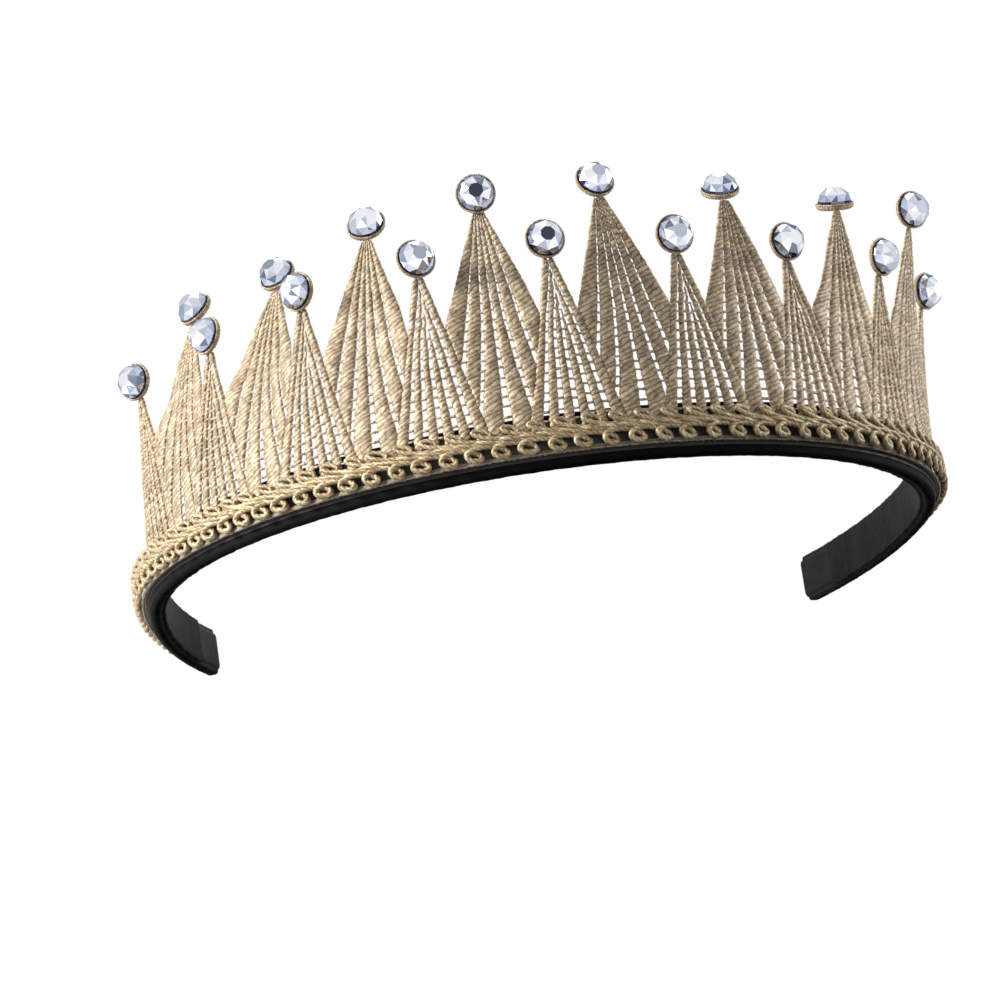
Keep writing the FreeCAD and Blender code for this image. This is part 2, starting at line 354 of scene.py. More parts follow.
def black_cloth(name, tone, grain, strength, sheen, roughness):
    """Ribbon or velvet: a fine pile that is a little paler where it stands up and where it is worn."""
    material, tree, shader = new_material(name, tone, roughness)
    place = object_place(tree)
    pile = noise(tree, place, grain, 4.0, 0.7)
    wear = noise(tree, place, 140.0, 3.0)
    light = tuple(2.5 * c + 0.003 for c in tone)
    color = ramp(tree, calc(tree, "MULTIPLY", pile, wear), [(0.12, tone), (0.45, light)])
    tree.links.new(color, shader.inputs["Base Color"])
    shader.inputs["Sheen Weight"].default_value = sheen
    shader.inputs["Sheen Roughness"].default_value = 0.4
    shader.inputs["Specular IOR Level"].default_value = 0.08
    bump(tree, shader, pile, strength, 0.0002)
    return material


def painted_facet_reflection(tree, number, face):
    """Painted reflections: each facet gets a different grey in its base colour. A table that looks out at
    the dark side of the room is painted dark, and so is the edge, whose facets stand nearly square to the
    stone's face."""
    normal = tree.nodes.new("ShaderNodeNewGeometry").outputs["True Normal"]
    place = tree.nodes.new("ShaderNodeMapping")
    place.inputs["Location"].default_value = (1.7 * number, 0.9 * number, 0.4 * number)
    tree.links.new(normal, place.inputs["Vector"])
    tones = ramp(tree, noise(tree, place.outputs[0], 3.4, 0.0), PAINTED_FACET_REFLECTIONS)
    dark = tree.nodes.new("ShaderNodeMapRange")
    dark.inputs["From Min"].default_value = 0.90
    dark.inputs["From Max"].default_value = 0.95
    tree.links.new(dot(tree, normal, DARK_REFLECTION_SIDE), dark.inputs["Value"])
    slope = calc(tree, "ABSOLUTE", dot(tree, normal, face))
    table = calc(tree, "GREATER_THAN", slope, 0.99)
    mix = tree.nodes.new("ShaderNodeMix")
    mix.data_type = "RGBA"
    tree.links.new(calc(tree, "MULTIPLY", dark.outputs[0], table), mix.inputs[0])
    tree.links.new(tones, mix.inputs[MIX_A])
    mix.inputs[MIX_B].default_value = (*PAINTED_TABLE_REFLECTION, 1)
    return times(tree, mix.outputs[MIX_RESULT], ramp(tree, slope, PAINTED_EDGE_REFLECTION))


def crystal_material(number, face):
    """Foil-backed cut stone, which reflects nearly as metal does, over painted reflections in its base
    colour.
    """
    material, tree, shader = new_material(f"crystal_{number:02d}", (0.95, 0.97, 1.0), 0.03, 0.88)
    shader.inputs["Transmission Weight"].default_value = 1.0
    shader.inputs["IOR"].default_value = 1.45
    shader.inputs["Specular Tint"].default_value = (0.35, 0.38, 0.46, 1)
    tree.links.new(painted_facet_reflection(tree, number, face), shader.inputs["Base Color"])
    smudge = noise(tree, object_place(tree), 500.0, 3.0)
    rough = ramp(tree, smudge, [(0.4, grey(0.02)), (0.8, grey(0.10))])
    tree.links.new(rough, shader.inputs["Roughness"])
    return material


def foil_material():
    """Mirror foil pressed into small flat cells, so that the stone over it sparkles. Each cell's grey is
    a painted glint.
    """
    material, tree, shader = new_material("silver_foil", (0.8, 0.84, 0.9), 0.12, 1.0)
    cells = add(tree, "ShaderNodeTexVoronoi", Scale=1000.0)
    tree.links.new(object_place(tree), cells.inputs["Vector"])
    tone = tree.nodes.new("ShaderNodeSeparateColor")
    tree.links.new(cells.outputs["Color"], tone.inputs[0])
    tree.links.new(ramp(tree, tone.outputs[0], PAINTED_FOIL_GLINTS), shader.inputs["Base Color"])
    bump(tree, shader, tone.outputs[1], 1.0, 0.0006)
    return material


def plain_plastic(name, tone, roughness):
    material, tree, shader = new_material(name, tone, roughness)
    grain = noise(tree, object_place(tree), 700.0, 3.0)
    dim, bright = (tuple(share * c for c in tone) for share in (0.8, 1.2))
    tree.links.new(ramp(tree, grain, [(0.3, dim), (0.7, bright)]), shader.inputs["Base Color"])
    bump(tree, shader, grain, 0.2, 0.0001)
    return material


FILAMENT_SHARE = 0.6  # of a thread's tone; the rest is patches
# Painted reflections of the stones: a grey for each facet, and a darkening of the edge facets
PAINTED_FACET_REFLECTIONS = [
    (0.27, (0.20, 0.23, 0.30)),
    (0.36, (0.52, 0.57, 0.68)),
    (0.45, (0.80, 0.83, 0.93)),
    (0.56, (0.94, 0.95, 1.0)),
]
PAINTED_EDGE_REFLECTION = [(0.05, (0.16, 0.18, 0.25)), (0.4, (0.66, 0.70, 0.82)), (0.75, (1, 1, 1))]
# Painted glints: the grey of each foil cell, from dark to white
PAINTED_FOIL_GLINTS = [
    (0.05, (0.25, 0.28, 0.34)),
    (0.2, (0.66, 0.70, 0.78)),
    (0.4, (0.92, 0.94, 0.98)),
    (0.7, (0.99, 0.99, 1.0)),
]
# A stone's table that faces this side gets a painted dark reflection
DARK_REFLECTION_SIDE = (-0.20, -0.98, 0.0)  # towards the unlit side of the room
PAINTED_TABLE_REFLECTION = (0.05, 0.06, 0.09)
LACE_TONES = [(0.26, 0.165, 0.085), (0.60, 0.455, 0.29), (0.94, 0.80, 0.59)]
BRAID_TONES = [(0.34, 0.22, 0.10), (0.66, 0.50, 0.29), (0.95, 0.82, 0.57)]
TAPE_TONES = [(0.18, 0.14, 0.10), (0.36, 0.30, 0.23), (0.58, 0.50, 0.40)]

# groove: how dark the painted shade is between stitches and between plies
LACE = thread_material("gold_lace", LACE_TONES, 0.38, 0.2, (7.0, 1.5, 1.0), groove=0.30)
CORD = thread_material("gold_braid", BRAID_TONES, 0.32, 0.25, (3.0, 6.0, 1.0), groove=0.45)
TAPE = thread_material("gold_tape", TAPE_TONES, 0.45, 0.15, (5.0, 5.0, 1.0))
RIBBON = black_cloth("black_ribbon", (0.004, 0.004, 0.0045), 2600.0, 0.5, 0.0, 0.75)
VELVET = black_cloth("black_velvet", (0.003, 0.003, 0.0035), 1500.0, 0.9, 0.06, 0.95)
FOIL = foil_material()
PLASTIC = plain_plastic("core_plastic", (0.02, 0.02, 0.022), 0.45)
GLUE = plain_plastic("dried_glue", (0.02, 0.017, 0.014), 0.5)


# ---------------------------------------------------------------- spikes, read off the CAD stones
def stone_back(number):
    """Middle of a stone's flat back, which is its largest facet, and the way the stone faces."""
    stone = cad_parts[f"rhinestone_{number:02d}"].data
    points = np.array([v.co[:] for v in stone.vertices]) / MM
    areas = {}
    for facet in stone.polygons:
        key = tuple(round(c, 2) for c in facet.normal)
        areas[key] = areas.get(key, 0) + facet.area
    back = np.array(max(areas, key=areas.get))
    face = -back / np.linalg.norm(back)
    height = points @ face
    return points[height < height.min() + 0.05].mean(0), face


class Spike:
    """Where one spike's pad sits, which way it faces, and how far its neck is from straight up."""

    def __init__(self, number):
        self.number = number
        self.short = number % 2 == 0
        self.arc = (number - (SPIKE_COUNT - 1) / 2) / 2 * SPIKE_PITCH * ARC_SHARE
        seat, self.face = stone_back(number + 1)
        self.centre = seat - self.face * STONE_SEAT
        rise = self.centre - at(LACE_MID, self.arc, BRAID_TOP)
        rise = rise - self.face * (rise @ self.face)
        self.pad_up = rise / np.linalg.norm(rise)
        self.pad_side = np.cross(self.face, self.pad_up) * -1
        self.neck = self.centre - self.pad_up * (PAD_RADIUS - LACE_THICK / 2)
        self.shift = self.neck[:2] - plan(LACE_MID, self.arc)


LEAN_POWER = 1.7
LEAN_MOST = 1.15  # it grows no more above this share of the way from the braid to the neck
BLADE_FREE = 8.0  # height above the valleys over which a blade comes free of its neighbours
spikes = [Spike(i) for i in range(SPIKE_COUNT)]


def lean_of(spike, z):
    """How far a spike has left the band's plan at height z. It grows towards the neck."""
    rise = np.clip((z - BRAID_TOP) / (spike.neck[2] - BRAID_TOP), 0, LEAN_MOST)
    return spike.shift * (rise**LEAN_POWER)[..., None]


def wall(spike, lat, z, depth=0.0):
    """Point on a spike: `lat` to one side, at height z, `depth` out from the middle of the lace.
    Below the valleys a spike's lean passes into its neighbour's."""
    lat, z, depth = np.broadcast_arrays(*[np.asarray(v, float) for v in (lat, z, depth)])
    free = smooth((z - VALLEY_TOP + 1) / BLADE_FREE)
    share = smooth(np.abs(lat) / (SPIKE_PITCH / 2)) * (1 - free)
    shift = (1 - share)[..., None] * lean_of(spike, z)
    for side in (-1, 1):
        other = spikes[min(max(spike.number + side, 0), SPIKE_COUNT - 1)]
        on_side = np.where(np.sign(lat) == side, share, 0)
        shift = shift + on_side[..., None] * lean_of(other, z)
    xy = plan(LACE_MID + depth, spike.arc + lat * ARC_SHARE) + shift
    return np.concatenate([xy, z[..., None]], -1)


# ---------------------------------------------------------------- lace
STITCH_PITCH = 0.92
STITCH_SLANT = 0.48  # rise of a stitch across its rib
STITCH_DEPTH = 0.48  # share of a rib's thickness
STITCH_WAVES = [(0.15, 1.3), (0.08, 2.9), (0.05, 4.3)]  # how much, and how fast, stitches drift
RIB_SIDES = 14
RIB_STEP = 0.13
RIB_END = 0.5  # length over which the end of a rib rounds off
SHORT_RIB_LEAST = 0.12  # a rib narrower than this isn't stitched
TALL_RIB_LEAST = 0.15
RIB_THICK_LEAST = 0.12
RIB_THICK_MOST = 0.5
RIB_THICK_GROWTH = 0.34  # for each millimetre of width
RIB_ROUNDNESS = 0.88  # power of a rib's section: 1 is an ellipse, less is squarer
CREST_POWER = 0.6  # less than 1 makes a stitch broad and the groove beside it narrow
LOOSE_COUNT = 97  # stitches before the same looseness comes round again
LACE_TAIL = BRAID_TOP - 2.6  # the ribs run down to here, behind the braid
LADDER_LOWEST = BRAID_TOP - 0.8
LADDER_PITCH = 1.8
LADDER_RADIUS = 0.23
LADDER_BITE = 0.15  # length of a thread's end inside a rib
LADDER_LEAST = 0.44  # a shorter thread is left out
SHORT_RIBS = 6
# Share of the way down from the neck at which each rib begins. The outer two run all the way.
SHORT_RIB_START = [-1.0, 0.05, 0.19, 0.29, 0.11, -1.0]
SHORT_HALF_FOOT = 8.3
GAP_LEAST = 0.10
GAP_MOST = 1.02
PAD_SIDES = 120
PAD_WRAPS = 30
# Section of the pad from the middle of its back, over its edge, to its front, as (radius, height).
PAD_PROFILE = [
    (0.05, -0.34), (0.9, -0.38), (1.8, -0.34), (2.7, -0.22), (3.2, -0.04), (3.44, 0.20),
    (3.5, 0.42), (3.46, 0.64), (3.32, 0.72), (3.24, 0.5), (1.5, 0.5), (0.05, 0.5),
]
RIM_RADIUS = 0.21
RIM_HEIGHT = 0.84  # from the middle of the pad
RIM_WRAPS = 46
# Edges of the three ribs on one side of a tall spike, from its middle out, at these shares of the way
# from the neck to the valleys, and then at these heights.
TALL_SHARES = [0.0, 0.6, 1.0]
TALL_HEIGHTS = [19.0, 12.0, BRAID_TOP]
TALL_RIBS = [
    ([0.02, 0.10, 0.24, 0.34, 0.62, 0.82], [0.29, 1.25, 1.72, 2.80, 4.0, 4.7]),
    ([0.33, 1.50, 2.20, 3.45, 4.7, 5.5], [0.58, 3.00, 4.50, 6.20, 7.6, 8.4]),
    ([0.62, 3.25, 4.95, 7.00, 8.4, 9.2], [0.90, 5.50, 8.50, 9.5, 9.5, 9.5]),
]


def short_half_width(spike, z):
    """Half the width of a short spike at height z."""
    down = (spike.neck[2] - z) / (spike.neck[2] - BRAID_TOP)
    return NECK_WIDTH / 2 + (SHORT_HALF_FOOT - NECK_WIDTH / 2) * np.clip(down, 0, 1)


def stitch_phase(lat, middle, z):
    """Number of stitches up to each point of a rib. They slant and drift a little."""
    phase = (z + rng.uniform(0, 1) - STITCH_SLANT * (lat - middle)) / STITCH_PITCH
    starts = rng.uniform(0, 2 * np.pi, len(STITCH_WAVES))
    for (size, rate), start in zip(STITCH_WAVES, starts):
        phase = phase + size * np.sin(rate * z + 0.4 * lat + start)
    return phase


def rib(mesh, spike, left, right, z):
    """A satin-stitched rib between two edges, given at each height in z."""
    width = np.maximum(right - left, 0.02)
    middle = ((left + right) / 2)[:, None]
    thick = np.minimum(RIB_THICK_MOST, RIB_THICK_LEAST + RIB_THICK_GROWTH * width)
    to_end = np.minimum((z - z.min()) / RIB_END, (z.max() - z) / RIB_END)
    taper = np.sqrt(np.clip(to_end, 0.02, 1))
    width, thick = (width * taper)[:, None], (thick * taper)[:, None]
    phi = np.linspace(0, 2 * np.pi, RIB_SIDES, endpoint=False)
    cos, sin = np.cos(phi), np.sin(phi)
    across = np.sign(cos) * np.abs(cos) ** RIB_ROUNDNESS
    lat = middle + width / 2 * across
    phase = stitch_phase(lat, middle, z[:, None])
    bundle = np.abs(np.sin(np.pi * phase)) ** CREST_POWER
    loose = rng.uniform(-1, 1, LOOSE_COUNT)[np.floor(phase).astype(int) % LOOSE_COUNT]
    depth = thick * sin * (1 + 0.10 * loose) * (1 - STITCH_DEPTH * (1 - bundle))
    lat = lat + (0.15 * (bundle - 0.5) + 0.05 * loose) * across
    points = wall(spike, lat, np.broadcast_to(z[:, None], lat.shape), depth)
    # u counts stitches: the lace material paints shade at each whole step, in the groove between two
    # stitches
    mesh.grid(points, np.stack([phase, lat], -1), close_v=True)


def ladders(mesh, spike, left, right, z):
    """Thin threads across the gap between two ribs."""
    for height in np.arange(z[0] + rng.uniform(0.3, 1.2), z[-1], LADDER_PITCH):
        height = height + rng.uniform(-0.15, 0.15)
        start = np.interp(height, z, left) - LADDER_BITE
        end = np.interp(height, z, right) + LADDER_BITE
        if end - start < LADDER_LEAST:
            continue
        t = np.linspace(0, 1, 6)
        sag = -0.25 * rng.uniform(0.2, 1.0) * (end - start) * t * (1 - t)
        slant = rng.uniform(-0.12, 0.12) * (t - 0.5)
        path = wall(spike, start + (end - start) * t, height + sag + slant, 0.12 * np.sin(np.pi * t))
        away = np.broadcast_to(outward(spike.arc), path.shape)
        thick = LADDER_RADIUS * rng.uniform(0.8, 1.2) * min(1, 0.45 + 0.55 * (end - start))
        # u is length in millimetres, so the lace material paints a band of shade at each millimetre of
        # the thread
        rings, uv = tube_rings(path, away, thick, 8)
        mesh.grid(rings, uv, close_v=True)


def fan_bounds(down, half):
    """Places where the ribs of a short spike meet. A rib widens fast at first and then slowly."""
    widths = []
    for start in SHORT_RIB_START:
        widths.append(0.4 * smooth((down - start) / 0.05) + 0.6 * smooth((down - start) / 0.3))
    widths = np.stack(widths)
    bounds = np.concatenate([np.zeros((1, len(down))), np.cumsum(widths, 0)]) / widths.sum(0)
    return half * (2 * bounds - 1)


def short_spike(mesh, spike):
    """Six ribs that fan out from the neck. Each new one pushes its neighbours apart."""
    neck, edges = spike.neck[2], []
    z = np.arange(LACE_TAIL, neck, RIB_STEP)
    down = np.clip((neck - z) / (neck - BRAID_TOP), 0, 1)
    bounds = fan_bounds(down, short_half_width(spike, z))
    gap = GAP_LEAST + (GAP_MOST - GAP_LEAST) * down
    for i in range(SHORT_RIBS):
        left = bounds[i] + (gap / 2 if i > 0 else 0)
        right = bounds[i + 1] - (gap / 2 if i < SHORT_RIBS - 1 else 0)
        there = right - left > SHORT_RIB_LEAST
        rib(mesh, spike, left[there], right[there], z[there])
        edges.append((z[there], left[there], right[there]))
    for (z1, _, right), (z2, left, _) in zip(edges, edges[1:]):
        z = z1 if len(z1) < len(z2) else z2
        z = z[z > LADDER_LOWEST]
        ladders(mesh, spike, np.interp(z, z1, right), np.interp(z, z2, left), z)


def tall_rib_edges(spike, side, inner, outer):
    """Heights of one rib, and its edges, which make way for the short spike on that side."""
    neck = spike.neck[2]
    heights = np.array([neck - share * (neck - VALLEY_TOP) for share in TALL_SHARES] + TALL_HEIGHTS)
    z = np.arange(LACE_TAIL, neck, RIB_STEP)
    near = np.interp(z, heights[::-1], inner[::-1])
    far = np.interp(z, heights[::-1], outer[::-1])
    limit = SPIKE_PITCH / 2 - short_half_width(spikes[spike.number + side], z) + 0.1
    far = np.where(z < VALLEY_TOP, np.minimum(far, limit), far)
    lowest = np.argmax(far - near > TALL_RIB_LEAST)
    return z[lowest:], near[lowest:], far[lowest:]


def mirrored(near, far, side):
    """Left and right of a span that is given from the spike's middle out."""
    return (near, far) if side > 0 else (-far, -near)


def tall_spike(mesh, spike):
    """Three ribs on each side of a slit."""
    for side in (-1, 1):
        edges = [tall_rib_edges(spike, side, inner, outer) for inner, outer in TALL_RIBS]
        for z, near, far in edges:
            rib(mesh, spike, *mirrored(near, far, side), z)
        for (z1, _, far), (z2, near, _) in zip(edges, edges[1:]):
            ladders(mesh, spike, *mirrored(np.interp(z2, z1, far), near, side), z2)
    z, near, _ = edges[0]
    z, near = z[z > LADDER_LOWEST], near[z > LADDER_LOWEST]
    ladders(mesh, spike, -near, near, z)


def turned(spike, radius, phi, height):
    """Points about the pad's middle, `height` out along its face."""
    side = spike.pad_side * np.cos(phi)[..., None] + spike.pad_up * np.sin(phi)[..., None]
    return spike.centre + side * radius[..., None] + spike.face * height[..., None]


def pad(mesh, spike):
    """Embroidered disc: radial satin stitch over its back and edge."""
    phi = np.linspace(0, 2 * np.pi, PAD_SIDES, endpoint=False)
    radius, height = (np.array(column)[:, None] * np.ones(PAD_SIDES) for column in zip(*PAD_PROFILE))
    groove = 1 - np.abs(np.sin(PAD_WRAPS * phi / 2 + 0.35 * radius)) ** CREST_POWER
    amount = smooth((radius - 0.4) / 1.2) * np.where(height < 0.4, 1.0, 0.0)
    height = height + 0.16 * groove * amount
    radius = radius - 0.07 * groove * amount * (radius > 3)
    phis = np.broadcast_to(phi, radius.shape)
    # the lace material paints shade at each whole step of u
    uv = np.stack([phis * PAD_WRAPS / 2, radius], -1)
    mesh.grid(turned(spike, radius, phis, height), uv, close_v=True, caps=False)


def rim(mesh, spike):
    """Wrapped thread round the front of the pad."""
    turn = np.linspace(0, 2 * np.pi, 200, endpoint=False)[:, None]
    around = np.linspace(0, 2 * np.pi, 12, endpoint=False)[None, :]
    crest = np.abs(np.sin(RIM_WRAPS * turn / 2 + around * 0.5)) ** CREST_POWER
    swell = RIM_RADIUS * (0.88 + 0.22 * crest)
    radius = PAD_RADIUS - RIM_RADIUS + swell * np.cos(around)
    height = RIM_HEIGHT + swell * np.sin(around)
    # the lace material paints shade at each whole step of u
    uv = np.stack(np.broadcast_arrays(turn * RIM_WRAPS / 2 / np.pi, around), -1)
    points = turned(spike, radius, np.broadcast_to(turn, radius.shape), height)
    mesh.grid(points, uv, close_u=True, close_v=True)


def lace():
    for spike in spikes:
        mesh = Mesh()
        if spike.short:
            short_spike(mesh, spike)
        else:
            tall_spike(mesh, spike)
        pad(mesh, spike)
        rim(mesh, spike)
        piece = mesh_object(f"lace_spike_{spike.number + 1:02d}", mesh, LACE)
        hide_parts("lace_crown")
        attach(piece, "root")


# ---------------------------------------------------------------- strips along the band
COVER_CORNER = 0.7
LINING_CORNER = 0.35
TAB_CORNER = 1.2


def rounded_profile(inner, outer, bottom, top, corner, points):
    """Closed outline of a strip's section, as (radius, z) with rounded corners."""
    outline = []
    corners = [(outer, bottom, -90), (outer, top, 0), (inner, top, 90), (inner, bottom, 180)]
    for r, z, start in corners:
        centre_r = r - corner if r == outer else r + corner
        centre_z = z + corner if z == bottom else z - corner
        for angle in np.radians(np.linspace(start, start + 90, points)):
            outline.append((centre_r + corner * math.cos(angle), centre_z + corner * math.sin(angle)))
    return np.array(outline)


def strip(name, profile, start, end, step, material, wave):
    """A section swept along the band, with a little unevenness so that it reads as cloth."""
    arcs = np.arange(start, end + step / 2, step)
    arcs[-1] = end
    radius = np.broadcast_to(profile[:, 0], (len(arcs), len(profile))).copy()
    z = np.broadcast_to(profile[:, 1], radius.shape).copy()
    centre = profile.mean(0)
    drift = np.sin(arcs * 0.9) * 0.5 + np.sin(arcs * 2.3 + 1) * 0.3 + rng.uniform(-0.4, 0.4, len(arcs))
    radius += wave * drift[:, None] * np.sign(profile[:, 0] - centre[0]) * 0.4
    z += wave * drift[::-1][:, None] * np.sign(profile[:, 1] - centre[1])
    points = at(radius, arcs[:, None], z)
    length = np.concatenate([[0], np.cumsum(np.linalg.norm(np.diff(profile, axis=0), axis=1))])
    uv = np.stack(np.broadcast_arrays(arcs[:, None], length[None, :]), -1)
    mesh = Mesh()
    mesh.grid(points, uv, close_v=True)
    return mesh_object(name, mesh, material)


def keep(piece, slot, *nodes):
    """The piece takes the place of CAD nodes."""
    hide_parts(*nodes)
    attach(piece, "root")


def band():
    cover = rounded_profile(BAND_IN, BAND_OUT, 0, BAND_HEIGHT, COVER_CORNER, 5)
    piece = strip("ribbon_cover", cover, -BAND_END, BAND_END, 0.5, RIBBON, 0.05)
    keep(piece, "black_ribbon", "band_cover")
    low, high = LINING_MARGIN, BAND_HEIGHT - LINING_MARGIN
    lining = rounded_profile(GRIP_RADIUS, BAND_IN, low, high, LINING_CORNER, 4)
    piece = strip("velvet_lining", lining, -TAB_START, TAB_START, 0.5, VELVET, 0.10)
    keep(piece, "black_velvet", "inner_lining")
    low, high = TAB_MARGIN, BAND_HEIGHT - TAB_MARGIN
    leaf = rounded_profile(BAND_IN - TAB_THICK, BAND_OUT + TAB_THICK, low, high, TAB_CORNER, 6)
    for side, label in ((-1, "right"), (1, "left")):
        ends = sorted((side * TAB_START, side * (BAND_END + TAB_THICK)))
        piece = strip(f"tip_tab_{label}", leaf, *ends, 0.4, RIBBON, 0.06)
        keep(piece, "black_ribbon", f"end_tab_{label}")


# ---------------------------------------------------------------- gimp braid
BRAID_MID = LACE_OUT + BRAID_THICK / 2
CENTRE_Z = 5.55
RING_CORD = 0.52
SCALLOP_CORD = 0.42
CENTRE_CORD = 0.36
CENTRE_TWIST = 0.30  # from the middle of the two cords to the middle of each
LOOP_PITCH = 4.76
# Each row of loops: how far its cord swings along the band, half its height and how its loops lean.
RING_SWING, RING_HALF, RING_LEAN = 2.25, 1.16, 0.5
SCALLOP_SWING, SCALLOP_HALF, SCALLOP_LEAN = 2.2, 0.98, -1.05
SWING_UNEVEN, PLACE_UNEVEN, HEIGHT_UNEVEN = 0.16, 0.2, 0.07
CROSS_DEPTH = 0.33  # a cord passes this far in front of or behind itself
CORD_SIDES = 14
PLIES = 3
PLY_STEP = 1.1  # length of cord from one groove to the next
PLY_DEPTH = 0.09  # share of the cord's radius
CORD_STEP = 0.17
CORD_PER_PITCH = 2.6  # length of cord in one loop, for each length of its pitch
BRAID_REACH = TAB_START * BRAID_MID / GRIP_RADIUS  # from the middle to an end, along the braid
SELVEDGE_DEPTH = 0.16
SELVEDGE_RADIUS = 0.27
TAPE_LOW = TAPE_BOTTOM + 0.8
TAPE_HIGH = TAPE_BOTTOM + 1.4
WEAVE_PITCH = 0.62
WEAVE_DEPTH = 0.08


def wrapped(s, phi):
    """Three plies twisted together."""
    return 1 + PLY_DEPTH * np.cos(PLIES * phi - 2 * np.pi * s / PLY_STEP)


def cord(mesh, path, away, radius):
    """Twisted cord along a path. Its u has a whole step at each groove between two plies, where the braid
    material paints shade.
    """
    rings, uv = tube_rings(path, -away, radius, CORD_SIDES, wrapped)
    ply = PLIES * uv[..., 1] - uv[..., 0] / PLY_STEP + 0.5
    mesh.grid(rings, np.stack([ply, uv[..., 0]], -1), close_v=True)


def two_ply(s, phi):
    """Two plies twisted together, with a deep groove."""
    return 1 + SELVEDGE_DEPTH * np.cos(2 * phi - 2 * np.pi * s / PLY_STEP)


def uneven(t, size, seed):
    """A slow wander about zero."""
    phases = np.random.default_rng(seed).uniform(0, 2 * np.pi, 5)
    return size * sum(np.sin(t * f + p) for f, p in zip((0.7, 1.9, 3.1, 4.7, 6.3), phases)) / 2.5


def along_band(s, radius, z):
    """A place in the braid, `s` along its middle."""
    return at(radius, s * GRIP_RADIUS / BRAID_MID, z)


def scroll(mesh, thick, swing, half, lean, up, seed):
    """One cord in a row of round loops: the lower row when up is -1, and the upper one, half a loop
    further on, when it is 1."""
    turns = (BRAID_REACH - swing - thick) / LOOP_PITCH
    tau = np.arange(-turns, turns, CORD_STEP / (CORD_PER_PITCH * LOOP_PITCH))
    theta = 2 * np.pi * tau
    if up > 0:
        tau = tau + 0.5
        tau, theta = tau[tau < turns], theta[tau < turns]
    swing = swing + uneven(tau, SWING_UNEVEN, seed)
    s = LOOP_PITCH * tau - swing * np.sin(theta) + lean * np.cos(theta)
    s = s + uneven(tau, PLACE_UNEVEN, seed + 10)
    middle = BRAID_TOP - thick - half if up > 0 else BRAID_BOTTOM + thick + half
    z = middle + up * (half + uneven(tau, HEIGHT_UNEVEN, seed + 20)) * np.cos(theta)
    radius = BRAID_MID + CROSS_DEPTH * np.sin(theta)
    path = along_band(s, radius, z)
    cord(mesh, path, outward(s * GRIP_RADIUS / BRAID_MID), thick)


def centre_cords(mesh):
    """Two cords that wind about each other along the middle of the braid."""
    half = BRAID_REACH - 0.6
    s = np.arange(-half, half, CORD_STEP)
    for turn in (0.0, math.pi):
        angle = 2 * np.pi * s / (1.5 * LOOP_PITCH) + turn + uneven(s / LOOP_PITCH, 0.3, 4)
        radius = BRAID_MID + 0.18 + CENTRE_TWIST * np.sin(angle)
        path = along_band(s, radius, CENTRE_Z + CENTRE_TWIST * np.cos(angle))
        cord(mesh, path, outward(s * GRIP_RADIUS / BRAID_MID), CENTRE_CORD)


def braid():
    mesh = Mesh()
    scroll(mesh, RING_CORD, RING_SWING, RING_HALF, RING_LEAN, -1, 1)
    keep(mesh_object("braid_ring_cord", mesh, CORD), "gold_braid", "braid_lower_rings")
    mesh = Mesh()
    scroll(mesh, SCALLOP_CORD, SCALLOP_SWING, SCALLOP_HALF, SCALLOP_LEAN, 1, 2)
    keep(mesh_object("braid_scallop_cord", mesh, CORD), "gold_braid", "braid_upper_scallops")
    mesh = Mesh()
    centre_cords(mesh)
    keep(mesh_object("braid_centre_cords", mesh, CORD), "gold_braid", "braid_core_cords")


def tape():
    """Narrow woven edge of the tape, which shows between the rings, and its corded lower selvedge."""
    arcs = np.arange(-TAB_START, TAB_START + 0.05, 0.14)
    outline = [(0, 0), (0, 1), (1, 1), (1, 0.66), (1, 0.33), (1, 0)]
    weave = WEAVE_DEPTH * np.abs(np.sin(np.pi * arcs / WEAVE_PITCH))
    radius = np.stack([LACE_IN + 0.02 + depth * (LACE_THICK - 0.3 + weave) for depth, _ in outline], 1)
    z = np.stack([TAPE_LOW + height * (TAPE_HIGH - TAPE_LOW) + 0 * arcs for _, height in outline], 1)
    uv = np.stack(np.broadcast_arrays(arcs[:, None], np.arange(len(outline))[None, :]), -1)
    mesh = Mesh()
    mesh.grid(at(radius, arcs[:, None], z), uv, close_v=True)
    s = np.arange(-TAB_START + 0.4, TAB_START - 0.4, 0.16)
    path = at(LACE_OUT - 0.25, s, TAPE_LOW + uneven(s, 0.05, 5))
    rings, uv = tube_rings(path, outward(s), SELVEDGE_RADIUS, 10, two_ply)
    mesh.grid(rings, uv, close_v=True)
    keep(mesh_object("woven_tape", mesh, TAPE), "gold_tape", "selvedge_tape")


# ---------------------------------------------------------------- CAD pieces that stay
def dress_cad_nodes():
    """The materials of the CAD solids that are shown as they are. The stones paint reflections into their
    base colour.
    """
    materials_by_part = {"band_core": PLASTIC, "glue_film": GLUE, "stone_glue_dots": GLUE, "stone_foils": FOIL}
    for spike in spikes:
        number = spike.number + 1
        materials_by_part[f"rhinestone_{number:02d}"] = crystal_material(number, spike.face)
    for name, material in materials_by_part.items():
        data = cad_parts[name].data
        data.materials.clear()
        data.materials.append(material)


# ---------------------------------------------------------------- stage, light and camera, in metres
WORLD_LIGHT = 0.14
FLOOR_HALF = 3.0
FLOOR_GAP = 0.0002
LAMPS = [  # name, place, width and power
    ("key", (-1.18, -0.27, 0.6), 0.45, 28.0),
    ("fill", (1.2, 0.2, 0.4), 0.6, 8.0),
    ("top", (0.0, 0.3, 1.2), 0.8, 5.0),
    ("back", (0.2, 1.2, 0.4), 0.7, 6.0),
]
CAMERA_AZIMUTH = -7.3  # this, the elevation and the roll in degrees
CAMERA_ELEVATION = -12.8
CAMERA_ROLL = 8.6
CAMERA_DISTANCE = 0.764
CAMERA_AIM = (-0.0084, 0.0128)  # right and up from the origin
CAMERA_LENS = 144  # this and the sensor in millimetres
CAMERA_SENSOR = 36


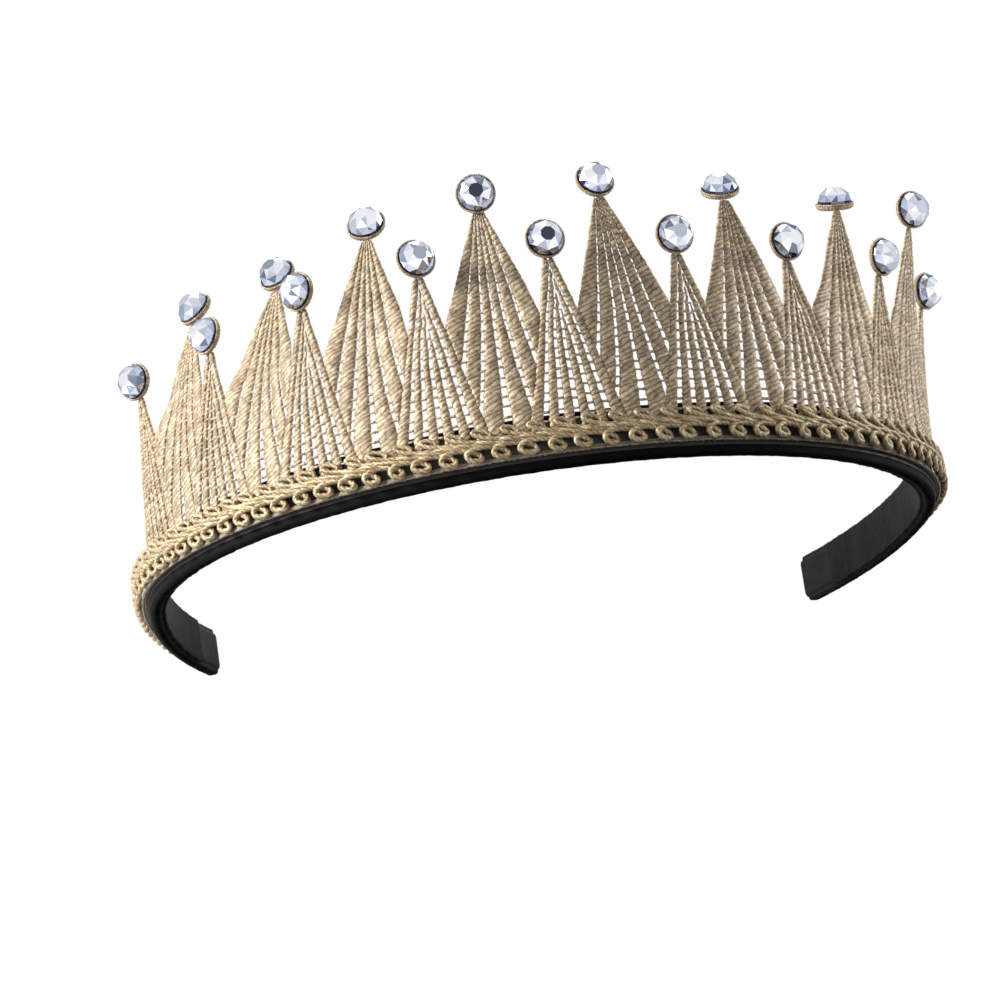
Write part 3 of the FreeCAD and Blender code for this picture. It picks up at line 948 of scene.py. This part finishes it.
def is_seen_directly(tree):
    """1 for rays from the camera, a mirror or glass, which see the plain white backdrop."""
    path = tree.nodes.new("ShaderNodeLightPath").outputs
    total = path["Is Camera Ray"]
    for other in ("Is Glossy Ray", "Is Transmission Ray"):
        total = calc(tree, "MAXIMUM", total, path[other])
    return total


def backdrop():
    """White where it is seen, and a dim light on everything else."""
    world = bpy.data.worlds.new("studio")
    bpy.context.scene.world = world
    world.use_nodes = True
    tree = world.node_tree
    background = tree.nodes["Background"]
    background.inputs["Color"].default_value = (1, 1, 1, 1)
    strength = tree.nodes.new("ShaderNodeMapRange")
    strength.inputs["To Min"].default_value = WORLD_LIGHT
    strength.inputs["To Max"].default_value = 1.0
    tree.links.new(is_seen_directly(tree), strength.inputs["Value"])
    tree.links.new(strength.outputs[0], background.inputs["Strength"])


def floor_material():
    """Pale and one-sided: from under the floor, it isn't there. It lights the crown only a little."""
    material, tree, shader = new_material("floor", grey(0.95), 0.8)
    shade = ramp(tree, is_seen_directly(tree), [(0.0, grey(0.3)), (1.0, grey(0.95))])
    tree.links.new(shade, shader.inputs["Base Color"])
    clear = tree.nodes.new("ShaderNodeBsdfTransparent")
    mix = tree.nodes.new("ShaderNodeMixShader")
    below = tree.nodes.new("ShaderNodeNewGeometry").outputs["Backfacing"]
    seen = tree.nodes.new("ShaderNodeLightPath").outputs["Is Camera Ray"]
    tree.links.new(calc(tree, "MULTIPLY", below, seen), mix.inputs[0])
    tree.links.new(shader.outputs[0], mix.inputs[1])
    tree.links.new(clear.outputs[0], mix.inputs[2])
    tree.links.new(mix.outputs[0], tree.nodes["Material Output"].inputs["Surface"])
    return material


def floor():
    """Pale floor that the crown stands on, just under its lowest point."""
    half, low = FLOOR_HALF, CAD_BOX[0][2] - FLOOR_GAP
    corners = [(-half, -half, low), (half, -half, low), (half, half, low), (-half, half, low)]
    mesh = bpy.data.meshes.new("floor")
    mesh.from_pydata(corners, [], [(0, 1, 2, 3)])
    mesh.materials.append(floor_material())
    obj = bpy.data.objects.new("floor", mesh)
    bpy.context.collection.objects.link(obj)


def lamp(name, place, size, power):
    """A round lamp that shines at the origin."""
    data = bpy.data.lights.new(name, "AREA")
    data.shape = "DISK"
    data.size = size
    data.energy = power
    obj = bpy.data.objects.new(name, data)
    obj.location = place
    obj.rotation_euler = (-Vector(place)).to_track_quat("-Z", "Y").to_euler()
    bpy.context.collection.objects.link(obj)


def camera():
    """From a little to the wearer's right and below the band's plane, tilted as the head is."""
    azimuth, elevation, roll = (math.radians(v) for v in (CAMERA_AZIMUTH, CAMERA_ELEVATION, CAMERA_ROLL))
    back = Vector((
        math.sin(azimuth) * math.cos(elevation),
        -math.cos(azimuth) * math.cos(elevation),
        math.sin(elevation),
    ))
    level = Vector((math.cos(azimuth), math.sin(azimuth), 0))
    above = back.cross(level)
    right = math.cos(roll) * level - math.sin(roll) * above
    up = math.sin(roll) * level + math.cos(roll) * above
    place = back * CAMERA_DISTANCE
    aim = right * CAMERA_AIM[0] + up * CAMERA_AIM[1]
    back = (place - aim).normalized()
    right = (right - back * right.dot(back)).normalized()
    up = back.cross(right)
    data = bpy.data.cameras.new("camera")
    data.lens = CAMERA_LENS
    data.sensor_width = CAMERA_SENSOR
    obj = bpy.data.objects.new("camera", data)
    obj.matrix_world = Matrix((right, up, back)).transposed().to_4x4()
    obj.location = place
    bpy.context.collection.objects.link(obj)
    bpy.context.scene.camera = obj


lace()
band()
braid()
tape()
dress_cad_nodes()
backdrop()
floor()
for settings in LAMPS:
    lamp(*settings)
camera()
bpy.context.scene.view_settings.view_transform = "Standard"
